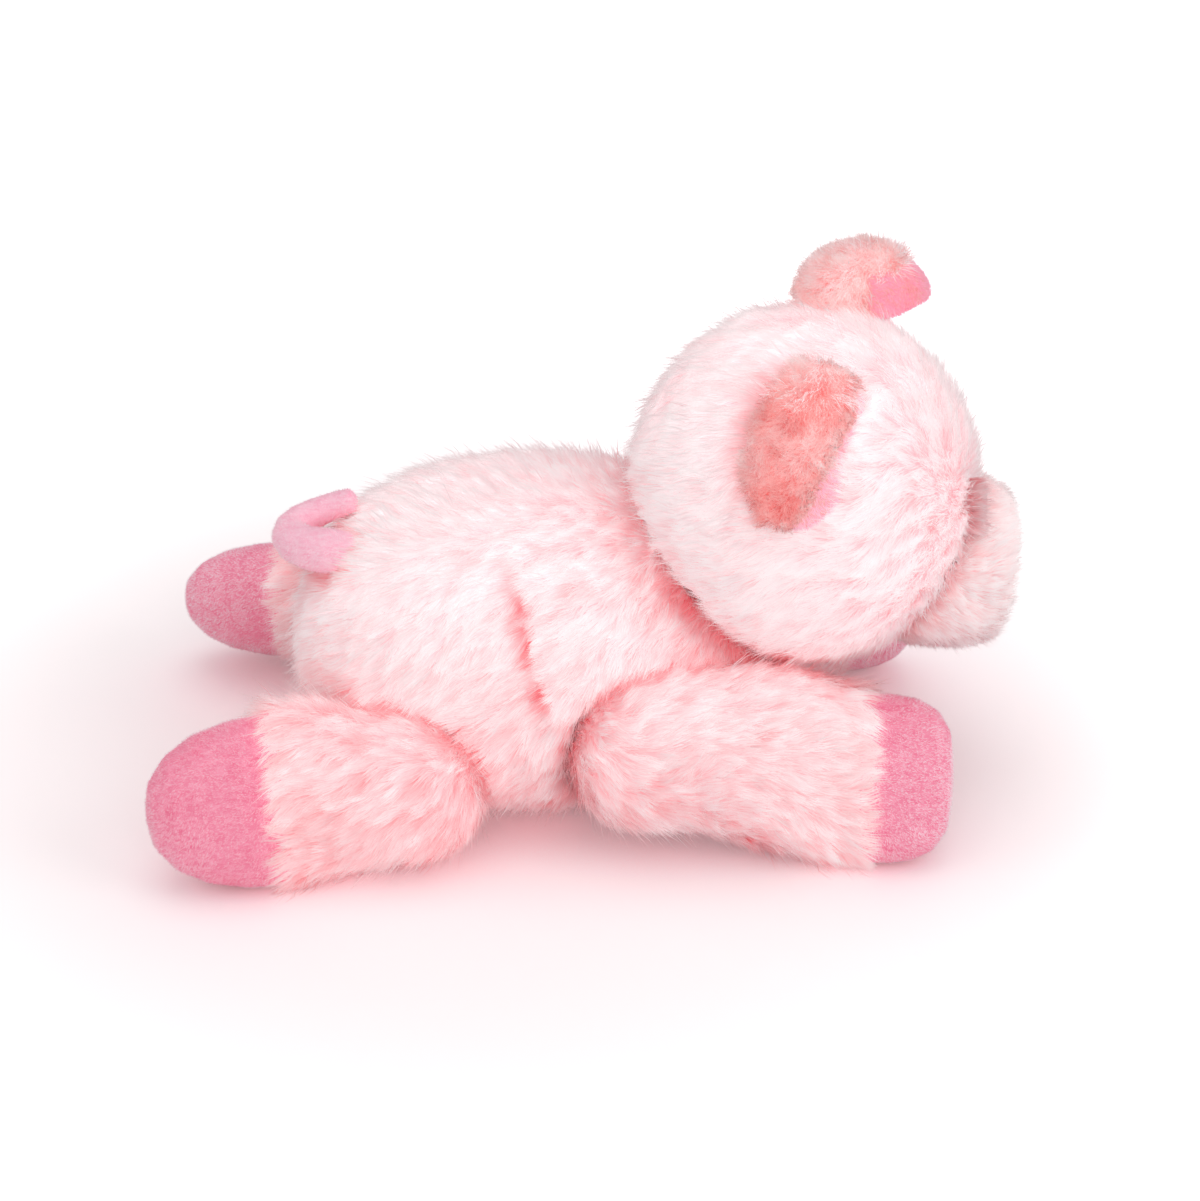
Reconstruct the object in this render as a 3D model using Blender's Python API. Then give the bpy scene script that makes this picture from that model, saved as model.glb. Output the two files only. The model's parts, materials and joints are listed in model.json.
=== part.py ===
# Plush pig lying on its belly, as sewn covers, their stuffing and its small hard parts.
# It faces -Y, its left side is +X, and z = 0 is the surface it lies on.
# The outsides of the fur covers stand for the pile at about half its length.
import bmesh
import bpy
from math import cos, pi, radians, sin, sqrt
from mathutils import Matrix, Vector

mm = 0.001

# Cloth and fits
seam_gap = 0.3 * mm
socket_gap = 0.6 * mm
ear_gap = 0.5 * mm
cover_wall = 2.0 * mm
lining_wall = 1.4 * mm
rest_cut = 0.5 * mm
overrun = 40.0 * mm

# Torso, a bean that is full at the shoulders and lies on a flattened belly
torso_length = 145.0 * mm
torso_width = 104.0 * mm
torso_height = 96.0 * mm
torso_behind_share = 0.42
belly_height_share = 0.44
chest_taper_share = 0.2
torso_plan_power = 2.0
torso_side_power = 2.5
back_power = 2.3
belly_power = 2.5

# Neck seam, a plane that leans forward over the shoulders
neck_lean = 42.7
neck_ahead_share = 0.413
neck_height_share = 0.71

# Head, an egg that looks forward and down
head_width = 106.0 * mm
head_height = 101.0 * mm
head_length = 98.0 * mm
head_stand_share = 0.754
face_droop = 8.0

# Muzzle, and the snout pad on its flat front
muzzle_width = 58.0 * mm
muzzle_height = 49.0 * mm
muzzle_depth = 52.0 * mm
muzzle_ahead_share = 0.86
muzzle_drop_share = 0.374
muzzle_power = 2.7
muzzle_mouth_radius = 17.0 * mm
muzzle_root_share = 0.5
snout_flat_share = 0.72
pad_share = 0.96
pad_rise = 3.5 * mm

# Eyes, each a dome on a stem with a washer behind the cover
eye_radius = 4.5 * mm
eye_rise = 2.8 * mm
stem_radius = 1.5 * mm
stem_length = 8.0 * mm
washer_radius = 5.5 * mm
washer_thickness = 1.2 * mm
eye_aside_share = 0.36
eye_up_share = 0.2

# Front legs, each a ball at the shoulder and a flattened tube down to the hoof
shoulder_radius = 24.0 * mm
shoulder_rise = 8.0 * mm
shoulder_aside_share = 0.8
shoulder_ahead_share = 0.28
front_leg_reach = 89.0 * mm
front_leg_splay = 6.0
front_hoof_length = 27.0 * mm
front_tip_power = 3.4

# Hind legs, made the same way but with the hip down on the floor
hip_radius = 22.5 * mm
hip_rise = 0.0 * mm
hip_aside_share = 0.9
hip_behind_share = 0.2
hind_leg_reach = 76.0 * mm
hind_leg_splay = 13.0
hind_hoof_length = 38.0 * mm
hind_tip_power = 2.3
hind_left_lift = 4.0 * mm

# Hoof section, and how much the sleeve stands out over it and swells
hoof_breadth = 50.0 * mm
hoof_depth = 29.0 * mm
cuff_step = 1.0 * mm
sleeve_swell = 2.0 * mm
root_pinch_share = 0.3
socket_play = 0.05 * mm
leg_lean = 27.0

# Ears, each a pinched leaf that is cupped and curls towards its lining
ear_length = 52.0 * mm
ear_width = 38.0 * mm
ear_pinch_share = 0.5
ear_widest_share = 0.45
ear_tip_share = 0.6
ear_fur_wall = 2.6 * mm
ear_rim = 1.8 * mm
ear_cup = 62.0
ear_aside_share = 0.42
ear_behind_share = 0.06
left_ear_curl = 128.0
left_ear_limits = (-15.0, 25.0)
left_ear_chord_shares = (0.42, -0.90, 0.0)
left_ear_back_shares = (-0.3, -0.1, 0.95)
right_ear_curl = 50.0
right_ear_limits = (0.0, 40.0)
right_ear_chord_shares = (-0.60, 0.33, -0.70)
right_ear_back_shares = (-0.75, 0.0, 0.65)

# Tail, one loose curl that thins to its tip
tail_root_radius = 7.6 * mm
tail_tip_radius = 3.8 * mm
tail_curl_radius = 9.2 * mm
tail_reach = 14.5 * mm
tail_climb = 7.5 * mm
tail_dip = 11.0 * mm
tail_turn = 195.0
tail_start_share = 0.14
tail_behind_share = 0.335

# How many faces go round and along each kind of form
body_around, body_stations = 24, 14
inner_around, inner_stations = 14, 8
socket_around, socket_stations = 22, 12
ball_axis_shares = (0.5, 0.3, 0.8)
hidden_around, hidden_stations = 14, 8
muzzle_around, muzzle_steps, pad_around, pad_steps = 20, 7, 20, 4
leg_around, leg_inner_around, leg_steps, ball_steps, hoof_steps = 18, 14, 6, 5, 4
small_around, dome_steps, ear_steps, ear_across, tail_steps = 12, 4, 8, 7, 10
sharp_angle = 50.0

# Places that follow from the sizes
up = Vector((0, 0, 1))
torso_middle = Vector((0, -(0.5 - torso_behind_share) * torso_length, belly_height_share * torso_height))
neck_axis = Vector((0, -cos(radians(neck_lean)), sin(radians(neck_lean))))
neck_point = Vector((0, -neck_ahead_share * torso_length, neck_height_share * torso_height))
head_middle = neck_point + neck_axis * head_stand_share * head_height / 2
face_axis = Vector((0, -cos(radians(face_droop)), -sin(radians(face_droop))))
brow_axis = Vector((0, -sin(radians(face_droop)), cos(radians(face_droop))))
muzzle_middle = head_middle + face_axis * muzzle_ahead_share * head_length / 2
muzzle_middle -= brow_axis * muzzle_drop_share * head_height / 2


def start_clean():
    for old in list(bpy.data.objects):
        bpy.data.objects.remove(old, do_unlink=True)


def finish(name, red, green, blue, roughness):
    """A plain material in the piece's own colour."""
    made = bpy.data.materials.new(name)
    made.use_nodes = True
    shader = made.node_tree.nodes["Principled BSDF"]
    shader.inputs["Base Color"].default_value = (red, green, blue, 1)
    shader.inputs["Roughness"].default_value = roughness
    shader.inputs["Metallic"].default_value = 0
    return made


def add_piece(name, shape, material, joint=None):
    """Makes an object of a bmesh in world places, with its origin on its joint.

    Each bent quad is split the same way, so that a layer stays parallel to the one inside it.
    """
    bmesh.ops.recalc_face_normals(shape, faces=shape.faces)
    bmesh.ops.triangulate(shape, faces=shape.faces, quad_method="FIXED")
    home = joint.matrix_world.translation.copy() if joint else Vector()
    bmesh.ops.translate(shape, verts=shape.verts, vec=-home)
    mesh = bpy.data.meshes.new(name)
    shape.to_mesh(mesh)
    shape.free()
    mesh.shade_smooth()
    mesh.set_sharp_from_angle(angle=radians(sharp_angle))
    if material:
        mesh.materials.append(material)
    piece = bpy.data.objects.new(name, mesh)
    bpy.context.collection.objects.link(piece)
    piece.parent = joint
    return piece


def add_joint(name, place, carrier=None):
    """An empty on a joint's axis, which carries the pieces that turn with it."""
    joint = bpy.data.objects.new(name, None)
    bpy.context.collection.objects.link(joint)
    joint.parent = carrier
    joint.location = place - carrier.matrix_world.translation if carrier else place
    bpy.context.view_layer.update()
    return joint


def as_cutter(piece):
    piece.hide_render = True
    piece.display_type = "WIRE"
    return piece


def cut(piece, *cutters, solver="EXACT"):
    for cutter in cutters:
        taking = piece.modifiers.new("without " + cutter.name, "BOOLEAN")
        taking.operation = "DIFFERENCE"
        taking.solver = solver
        taking.object = cutter


def skin(shape, rings):
    """Skins a run of rings with as many points each, and gives their vertices."""
    loops = [[shape.verts.new(point) for point in ring] for ring in rings]
    count = len(loops[0])
    for near, far in zip(loops, loops[1:]):
        for i in range(count):
            j = (i + 1) % count
            shape.faces.new((near[i], near[j], far[j], far[i]))
    return loops


def loft(rings, first_pole, last_pole):
    """A skin that is closed at both ends by a fan on a pole."""
    shape = bmesh.new()
    loops = skin(shape, rings)
    count = len(loops[0])
    for pole, loop in ((first_pole, loops[0]), (last_pole, loops[-1])):
        tip = shape.verts.new(pole)
        for i in range(count):
            shape.faces.new((loop[i], loop[(i + 1) % count], tip))
    return shape


def swelling(station, power):
    """How full a stuffed form is at a station from -1 to 1 along it."""
    return max(1 - abs(station) ** power, 0) ** (1 / power)


def stations_of(count):
    """Stations between the two poles, closer together where the form rounds off."""
    return [-cos(pi * (i + 1) / (count + 1)) for i in range(count)]


def angles_of(count):
    return [2 * pi * i / count for i in range(count)]


def eased(share):
    share = min(max(share, 0), 1)
    return share * share * (3 - 2 * share)


def rounded(value, power):
    """A circle's sine or cosine, drawn out towards a squarer curve by a power above 2."""
    return abs(value) ** (2 / power) * (1 if value > 0 else -1)


def torso_shape(inset, around, stations):
    """The bean, with its outside brought in by the inset."""
    reach = torso_length / 2 - inset
    width = torso_width / 2 - inset
    below = torso_middle.z + rest_cut - inset
    above = torso_height - torso_middle.z - inset
    rings = []
    for station in stations_of(stations):
        taper = 1 - chest_taper_share * max(-station, 0)
        plan = width * taper * swelling(station, torso_plan_power)
        side = swelling(station, torso_side_power)
        ring = []
        for angle in angles_of(around):
            over = sin(angle) > 0
            power = back_power if over else belly_power
            rise = (above if over else below) * side * rounded(sin(angle), power)
            ring.append(torso_middle + Vector((plan * rounded(cos(angle), power), reach * station, rise)))
        rings.append(ring)
    end = Vector((0, reach, 0))
    return loft(rings, torso_middle - end, torso_middle + end)


def egg_shape(middle, along, top, sizes, around, stations):
    """A stuffed egg of the given length, width and height, with its poles on the axis along."""
    length, width, height = sizes
    aside = along.cross(top)
    rings = []
    for station in stations_of(stations):
        full = swelling(station, 2)
        here = middle + along * station * length / 2
        rings.append([
            here + full * (aside * cos(angle) * width + top * sin(angle) * height) / 2
            for angle in angles_of(around)
        ])
    return loft(rings, middle - along * length / 2, middle + along * length / 2)


def head_shape(inset, around, stations):
    sizes = [size - 2 * inset for size in (head_length, head_width, head_height)]
    return egg_shape(head_middle, face_axis, brow_axis, sizes, around, stations)


def muzzle_ring(station, inset):
    full = swelling(station, muzzle_power)
    aside = face_axis.cross(brow_axis) * (muzzle_width / 2 - inset)
    tall = brow_axis * (muzzle_height / 2 - inset)
    middle = muzzle_middle + face_axis * station * muzzle_depth / 2
    return [middle + full * (aside * cos(angle) + tall * sin(angle)) for angle in angles_of(muzzle_around)]


def muzzle_rings(inset, front):
    """Rings from inside the head to the flat that the snout pad is sewn on."""
    reach = front - inset
    first, last = -muzzle_root_share, 2 * reach / muzzle_depth
    turns = [pi / 2 * i / (muzzle_steps - 1) for i in range(muzzle_steps)]
    return [muzzle_ring(first + (last - first) * sin(turn), inset) for turn in turns]


def turned(shape, direction, place):
    """Stands a shape that was made along +Z on a place, along a direction."""
    turn = up.rotation_difference(direction).to_matrix().to_4x4()
    bmesh.ops.transform(shape, matrix=Matrix.Translation(place) @ turn, verts=shape.verts)
    return shape


def ball_cutter(name, middle, radius, around, stations):
    """A ball whose faces, and not only its corners, stand clear of the radius."""
    size = 2 * radius / cos(pi / around) / cos(pi / 2 / (stations + 1))
    axis = Vector(ball_axis_shares).normalized()
    shape = egg_shape(middle, axis, axis.orthogonal().normalized(), [size] * 3, around, stations)
    return as_cutter(add_piece(name, shape, None))


def slab_cutter(name, point, outward):
    """A block that takes everything on the outward side of a plane."""
    size = torso_length + head_length + overrun
    shape = bmesh.new()
    bmesh.ops.create_cube(shape, size=size)
    return as_cutter(add_piece(name, turned(shape, outward, point + outward * size / 2), None))


def rod_cutter(name, start, direction, length, radius, around):
    shape = bmesh.new()
    bmesh.ops.create_cone(shape, cap_ends=True, segments=around, radius1=radius, radius2=radius, depth=length)
    return as_cutter(add_piece(name, turned(shape, direction, start + direction * length / 2), None))


class Leg:
    """One leg: a ball about its root, a sleeve that flattens along it, and a hoof."""

    def __init__(self, name, side, front, lift=0):
        self.name = name
        self.side = side
        self.lift = lift
        if front:
            self.radius, self.rise = shoulder_radius, shoulder_rise
            self.reach, self.hoof = front_leg_reach, front_hoof_length
            self.tip_power = front_tip_power
            aside, along = shoulder_aside_share, -shoulder_ahead_share
            splay, forward = radians(front_leg_splay), -1
        else:
            self.radius, self.rise = hip_radius, hip_rise
            self.reach, self.hoof = hind_leg_reach, hind_hoof_length
            self.tip_power = hind_tip_power
            aside, along = hip_aside_share, hip_behind_share
            splay, forward = radians(hind_leg_splay), 1
        self.cuff = self.reach - self.hoof
        self.heading = Vector((side * sin(splay), forward * cos(splay), 0))
        self.outward = Vector((side * cos(splay), -forward * sin(splay), 0))
        height = self.radius + self.rise - rest_cut
        self.root = Vector((side * aside * torso_width / 2, along * torso_length, height))

    def section(self, away):
        """Middle, half breadth, half depth and lean of the outside at a distance from the root."""
        pinch = root_pinch_share * self.radius
        ball = sqrt(self.radius ** 2 - min(max(away, 0), pinch) ** 2)
        ease = eased((away - pinch) / (self.cuff - pinch))
        swell = sleeve_swell * sin(pi * ease) if away < self.cuff else 0
        step = cuff_step * ease if away < self.cuff else 0
        broad = ball + (hoof_breadth / 2 - ball) * ease + swell + step
        deep = ball + (hoof_depth / 2 - ball) * ease + step
        lean = radians(leg_lean) * ease
        height = sqrt((broad * cos(lean)) ** 2 + (deep * sin(lean)) ** 2)
        middle = self.root + self.heading * away
        lift = self.lift * (1 - max(away - self.cuff, 0) / self.hoof)
        middle.z += (height - self.radius - self.rise + lift) * ease
        return middle, broad, deep, lean

    def ring(self, away, inset, around):
        middle, broad, deep, lean = self.section(away)
        full = 1
        if away < 0:
            full = sqrt(max(1 - (away / (self.radius - inset)) ** 2, 0))
        if away > self.cuff:
            full = swelling((away - self.cuff) / (self.hoof - inset), self.tip_power)
        tall = up * cos(lean) - self.outward * sin(lean)
        wide = self.outward * cos(lean) + up * sin(lean)
        return [
            middle + tall * (broad - inset) * full * sin(angle) + wide * (deep - inset) * full * cos(angle)
            for angle in angles_of(around)
        ]

    def ball_rings(self, inset, around):
        turns = [pi / 2 * (i + 1) / (ball_steps + 1) for i in range(ball_steps)]
        return [self.ring(-(self.radius - inset) * cos(turn), inset, around) for turn in turns]

    def sleeve_rings(self, end, inset, around):
        return [self.ring(end * i / leg_steps, inset, around) for i in range(leg_steps + 1)]

    def hoof_rings(self, start, inset, around):
        length = self.hoof - inset
        turns = [0] + [pi / 2 * (i + 1) / (hoof_steps + 1) for i in range(hoof_steps)]
        return [self.ring(max(start, self.cuff + length * sin(turn)), inset, around) for turn in turns]

    def root_pole(self, inset):
        return self.root - self.heading * (self.radius - inset)

    def tip_pole(self, inset):
        return self.section(self.reach)[0] - self.heading * inset

    def sleeve_shape(self):
        end = self.cuff - seam_gap / 2
        rings = self.ball_rings(0, leg_around) + self.sleeve_rings(end, 0, leg_around)
        return loft(rings, self.root_pole(0), self.section(end)[0])

    def sleeve_hollow_shape(self):
        end = self.cuff - seam_gap / 2
        rings = self.ball_rings(cover_wall, leg_inner_around)
        rings += self.sleeve_rings(end - seam_gap, cover_wall, leg_inner_around)
        past = self.heading * overrun
        rings.append([point + past for point in rings[-1]])
        return loft(rings, self.root_pole(cover_wall), self.section(end)[0] + past)

    def hoof_shape(self):
        """A toe cap: the outside back from its tip, turned in at the seam and out to the tip again."""
        start = self.cuff + seam_gap / 2
        rings = self.hoof_rings(start, 0, leg_around)[::-1] + self.hoof_rings(start, cover_wall, leg_around)
        return loft(rings, self.tip_pole(0), self.tip_pole(cover_wall))

    def filling_shape(self):
        inset = cover_wall + seam_gap
        rings = self.ball_rings(inset, leg_inner_around)
        rings += self.sleeve_rings(self.cuff - seam_gap, inset + cuff_step, leg_inner_around)
        rings += self.hoof_rings(self.cuff + seam_gap, inset, leg_inner_around)
        return loft(rings, self.root_pole(inset), self.tip_pole(inset))


class Ear:
    """One ear: a leaf that leaves its base along a direction, arches over and is cupped across."""

    def __init__(self, name, side, chord, back, curl, limits):
        self.name = name
        self.limits = limits
        self.curl = radians(curl)
        chord = Vector((chord[0] * head_width, chord[1] * head_length, chord[2] * head_height)).normalized()
        back = Vector((back[0] * head_width, back[1] * head_length, back[2] * head_height))
        back = (back - chord * back.dot(chord)).normalized()
        self.along = chord * cos(self.curl / 2) + back * sin(self.curl / 2)
        self.back = back * cos(self.curl / 2) - chord * sin(self.curl / 2)
        self.across = self.along.cross(self.back)
        aside = side * ear_aside_share * head_width / 2
        raised = sqrt(1 - ear_aside_share ** 2 - ear_behind_share ** 2) * head_height / 2
        behind = ear_behind_share * head_length / 2
        self.base = head_middle + Vector((aside, 0, 0)) + brow_axis * raised - face_axis * behind
        self.hinge = self.base + (self.base - head_middle).normalized() * seam_gap
        self.base = self.hinge + self.back * (ear_fur_wall + ear_gap + lining_wall)

    def place(self, aside, share, depth, spread):
        """A point at a share of the length, aside from -1 to 1 across it and a depth below its back.

        The spread only widens the leaf at its two edges, so that its layers stay parallel.
        """
        turn = self.curl * share
        arch = ear_length / self.curl
        middle = self.base + self.along * arch * sin(turn) - self.back * arch * (1 - cos(turn))
        below = -(self.along * sin(turn) + self.back * cos(turn))
        opening = sin(pi / 2 * min(share / ear_widest_share, 1))
        pinch = ear_pinch_share + (1 - ear_pinch_share) * opening
        leaf = pinch * swelling(max(share - ear_widest_share, 0) / (1 - ear_widest_share), 2)
        half = ear_width / 2 * leaf
        cup = ear_width / 2 / radians(ear_cup)
        bend = (half * aside + spread * leaf * int(aside)) / cup
        middle = middle + self.across * cup * sin(bend) + below * cup * (1 - cos(bend))
        inward = below * cos(bend) - self.across * sin(bend)
        return middle + inward * depth

    def shape(self, top, bottom, spread):
        """A thin leaf between two depths below the ear's back, closed by a strip at its base and tip."""
        asides = [-1 + 2 * i / (ear_across - 1) for i in range(ear_across)]
        rings = []
        for step in range(ear_steps):
            share = sin(pi / 2 * step / (ear_steps - ear_tip_share))
            ring = [self.place(aside, share, top, spread) for aside in asides]
            ring += [self.place(aside, share, bottom, spread) for aside in reversed(asides)]
            rings.append(ring)
        shape = bmesh.new()
        loops = skin(shape, rings)
        for loop in (loops[0], loops[-1]):
            for i in range(ear_across - 1):
                shape.faces.new((loop[i], loop[i + 1], loop[-2 - i], loop[-1 - i]))
        return shape


def tail_middles(root):
    """Places along one loose curl: out of the rump, back and round, then up and forward again."""
    middles = []
    for step in range(tail_steps + 1):
        share = step / tail_steps
        angle = radians(tail_turn) * (share - tail_start_share) / (1 - tail_start_share)
        dip = tail_dip * (min(share / tail_start_share, 1) - 1) ** 2
        aside = -tail_curl_radius * cos(angle)
        middles.append(root + Vector((aside, tail_reach * sin(angle), tail_climb * share ** 3 - dip)))
    return middles


def tail_shape(root, inset):
    middles = tail_middles(root)
    rings = []
    for i, middle in enumerate(middles):
        heading = (middles[min(i + 1, tail_steps)] - middles[max(i - 1, 0)]).normalized()
        aside = heading.cross(up).normalized()
        top = aside.cross(heading)
        radius = tail_root_radius + (tail_tip_radius - tail_root_radius) * i / tail_steps - inset
        rings.append([
            middle + radius * (aside * cos(angle) + top * sin(angle)) for angle in angles_of(small_around)
        ])
    tip = middles[-1] + heading * (tail_tip_radius - inset) / 2
    return loft(rings, middles[0], tip)


def surface_height(along):
    """Height of the torso's back above a place along it."""
    station = (along - torso_middle.y) / (torso_length / 2)
    return torso_middle.z + (torso_height - torso_middle.z) * swelling(station, torso_side_power)


def form_cutter(name, shape):
    return as_cutter(add_piece(name, shape, None))


def leg_cutter(leg, name, growth):
    """The torso with one leg's socket in it, which a leg is cut by to lie against the flank."""
    cutter = form_cutter(leg.name + name, torso_shape(-growth, body_around, body_stations))
    radius = leg.radius + socket_play - (growth - seam_gap)
    cut(cutter, ball_cutter(leg.name + name + "_ball", leg.root, radius, socket_around, socket_stations))
    return cutter


def build_torso(fur, stuffing, legs, floor):
    neck_side = slab_cutter("neck_plane_torso", neck_point - neck_axis * seam_gap / 2, neck_axis)
    outer_balls, wall_balls, filling_balls = [], [], []
    for leg in legs:
        socket = leg.radius + socket_gap
        behind = socket + cover_wall
        outer_balls.append(ball_cutter(leg.name + "_socket", leg.root, socket, socket_around, socket_stations))
        wall_balls.append(
            ball_cutter(leg.name + "_socket_wall", leg.root, behind, hidden_around, hidden_stations)
        )
        filling_balls.append(
            ball_cutter(leg.name + "_socket_filling", leg.root, behind + seam_gap, hidden_around, hidden_stations)
        )
    hollow = form_cutter("torso_hollow", torso_shape(cover_wall, inner_around, inner_stations))
    cut(hollow, *wall_balls)
    cover = add_piece("torso_cover", torso_shape(0, body_around, body_stations), fur)
    cut(cover, *outer_balls, hollow, neck_side, floor)
    inside = torso_shape(cover_wall + seam_gap, inner_around, inner_stations)
    filling = add_piece("torso_filling", inside, stuffing)
    cut(filling, *filling_balls, neck_side)


def build_head(fur, stuffing, neck):
    neck_side = slab_cutter("neck_plane_head", neck_point + neck_axis * seam_gap / 2, -neck_axis)
    hollow = form_cutter("head_hollow", head_shape(cover_wall, inner_around, inner_stations))
    mouth_start = muzzle_middle - face_axis * muzzle_depth / 2
    mouth = rod_cutter("muzzle_mouth", mouth_start, face_axis, muzzle_depth, muzzle_mouth_radius, inner_around)
    cover = add_piece("head_cover", head_shape(0, body_around, body_stations), fur, neck)
    cut(cover, hollow, mouth, neck_side)
    inside = head_shape(cover_wall + seam_gap, inner_around, inner_stations)
    filling = add_piece("head_filling", inside, stuffing, neck)
    cut(filling, neck_side)
    return cover, filling


def build_muzzle(fur, stuffing, velvet, neck, room):
    front = snout_flat_share * muzzle_depth / 2
    outside, inside = muzzle_rings(0, front), muzzle_rings(cover_wall, front)
    flat_point = muzzle_middle + face_axis * front
    cup = loft(outside[::-1] + inside, flat_point, flat_point - face_axis * cover_wall)
    cut(add_piece("muzzle_cover", cup, fur, neck), room)
    inset = cover_wall + seam_gap
    rings = muzzle_rings(inset, front)
    root_point = muzzle_middle - face_axis * muzzle_root_share * muzzle_depth / 2
    filling = add_piece("muzzle_filling", loft(rings, root_point, flat_point - face_axis * inset), stuffing, neck)
    cut(filling, room)

    full = swelling(snout_flat_share, muzzle_power) * pad_share / 2
    wide = face_axis.cross(brow_axis) * full * muzzle_width
    tall = brow_axis * full * muzzle_height
    seat = flat_point + face_axis * seam_gap
    rings = []
    for step in range(pad_steps):
        turn = pi / 2 * step / pad_steps
        here = seat + face_axis * pad_rise * sin(turn)
        rings.append([here + cos(turn) * (wide * cos(a) + tall * sin(a)) for a in angles_of(pad_around)])
    add_piece("snout_pad", loft(rings, seat, seat + face_axis * pad_rise), velvet, neck)


def on_head(aside, raised):
    """A place on the front of the head's outside, and the outward direction there."""
    half_width, half_height, half_length = head_width / 2, head_height / 2, head_length / 2
    along = sqrt(1 - (aside / half_width) ** 2 - (raised / half_height) ** 2) * half_length
    place = head_middle + Vector((aside, 0, 0)) + brow_axis * raised + face_axis * along
    outward = Vector((aside / half_width ** 2, 0, 0))
    outward += brow_axis * raised / half_height ** 2 + face_axis * along / half_length ** 2
    return place, outward.normalized()


def build_eye(name, side, black, white, neck, cover, filling):
    aside = side * eye_aside_share * head_width / 2
    place, outward = on_head(aside, eye_up_share * head_height / 2)
    profile = [(stem_radius, -stem_length), (stem_radius, 0)]
    for i in range(dome_steps):
        turn = pi / 2 * i / dome_steps
        profile.append((eye_radius * cos(turn), eye_rise * sin(turn)))
    rings = [
        [Vector((radius * cos(angle), radius * sin(angle), height)) for angle in angles_of(small_around)]
        for radius, height in profile
    ]
    shape = loft(rings, -up * stem_length, up * eye_rise)
    add_piece(name, turned(shape, outward, place + outward * seam_gap), black, neck)

    start = place + outward * overrun
    length = overrun + stem_length + seam_gap
    hole = rod_cutter(name + "_hole", start, -outward, length, stem_radius + seam_gap, small_around)
    seat = place - outward * cover_wall
    pocket = rod_cutter(name + "_pocket", seat, -outward, stem_length, washer_radius + seam_gap, small_around)
    cut(cover, hole, pocket)
    cut(filling, pocket)
    disc = bmesh.new()
    bmesh.ops.create_cone(
        disc, cap_ends=True, segments=small_around,
        radius1=washer_radius, radius2=washer_radius, depth=washer_thickness,
    )
    middle = seat - outward * (seam_gap + washer_thickness / 2)
    washer = add_piece(name + "_washer", turned(disc, outward, middle), white, neck)
    cut(washer, hole)


def build_leg(leg, fur, velvet, stuffing, floor):
    """Each layer of a leg is cut by the flank, but for the leg's own ball, which turns in the socket."""
    joint = add_joint(leg.name + "_joint", leg.root)
    flank = leg_cutter(leg, "_flank", seam_gap)
    inner_flank = leg_cutter(leg, "_inner_flank", seam_gap + cover_wall)
    filling_flank = leg_cutter(leg, "_filling_flank", seam_gap + cover_wall + seam_gap)
    hollow = form_cutter(leg.name + "_hollow", leg.sleeve_hollow_shape())
    cut(hollow, inner_flank, solver="MANIFOLD")
    sleeve = add_piece(leg.name + "_leg_sleeve", leg.sleeve_shape(), fur, joint)
    cut(sleeve, hollow, flank, floor, solver="MANIFOLD")
    cut(add_piece(leg.name + "_hoof", leg.hoof_shape(), velvet, joint), floor)
    filling = add_piece(leg.name + "_leg_filling", leg.filling_shape(), stuffing, joint)
    cut(filling, filling_flank, solver="MANIFOLD")


def build_ear(ear, coral, velvet, neck, room):
    """An ear's root is cut to lie on the head at rest and at both ends of its fold."""
    joint = add_joint(ear.name + "_joint", ear.hinge, neck)
    rooms = [room]
    for limit in ear.limits:
        turn = Matrix.Rotation(radians(-limit), 4, ear.across)
        about_hinge = Matrix.Translation(ear.hinge) @ turn @ Matrix.Translation(-ear.hinge)
        shape = head_shape(-seam_gap, body_around, body_stations)
        bmesh.ops.transform(shape, matrix=about_hinge, verts=shape.verts)
        if limit:
            rooms.append(form_cutter(ear.name + "_room", shape))
    cut(add_piece(ear.name + "_back", ear.shape(0, ear_fur_wall, 0), coral, joint), *rooms)
    top = ear_fur_wall + ear_gap
    cut(add_piece(ear.name + "_lining", ear.shape(top, top + lining_wall, ear_rim), velvet, joint), *rooms)


def build_tail(velvet, stuffing):
    along = tail_behind_share * torso_length
    root = Vector((0, along, surface_height(along)))
    front = tail_middles(root)[0].y - tail_root_radius
    joint = add_joint("tail_joint", Vector((0, front, surface_height(front) + seam_gap)))
    room = form_cutter("torso_room", torso_shape(-seam_gap, body_around, body_stations))
    hollow = form_cutter("tail_hollow", tail_shape(root, cover_wall))
    cut(add_piece("tail_cover", tail_shape(root, 0), velvet, joint), hollow, room)
    cut(add_piece("tail_filling", tail_shape(root, cover_wall + seam_gap), stuffing, joint), room)


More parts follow.
